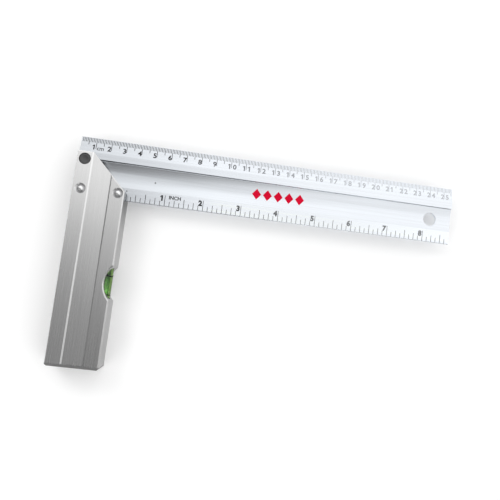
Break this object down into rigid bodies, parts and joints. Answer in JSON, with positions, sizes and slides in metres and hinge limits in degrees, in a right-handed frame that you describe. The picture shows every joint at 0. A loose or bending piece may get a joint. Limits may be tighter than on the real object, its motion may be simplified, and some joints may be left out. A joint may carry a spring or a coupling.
{
  "type": "carpenter square",
  "caption": "Try and mitre square: extruded ruler blade with printed scales, riveted into a hollow aluminium handle with a mitred top, a notch and a spirit level vial.",
  "frame": {"origin": "middle of the overall box in X and Y, at the height of the handle's back face, on which the square lies", "axes": "+X along the blade towards its far end, +Y from the handle towards the blade's top edge, +Z out of the front face"},
  "size_m": [0.256, 0.1484, 0.02],
  "materials": {
    "handle_aluminium": "satin anodised extrusion",
    "blade_aluminium": "bright anodised extrusion",
    "scale_ink": "printed ink",
    "cap_plastic": "moulded grey",
    "pin_black": "blackened",
    "rivet_metal": "bright",
    "vial_acrylic": "clear",
    "vial_fluid": "clear green liquid",
    "line_black": "paint",
    "print_red": "printed ink"
  },
  "bodies": {
    "root": {"handle": "handle_aluminium", "blade": "blade_aluminium", "cm_marks": "scale_ink", "inch_marks": "scale_ink", "end_cap": "cap_plastic", "corner_pin": "pin_black", "rivet_outer": "rivet_metal", "rivet_inner": "rivet_metal", "vial_tube": "vial_acrylic", "vial_liquid": "vial_fluid", "vial_plug": "vial_acrylic", "vial_lines": "line_black"}
  },
  "joints": []
}
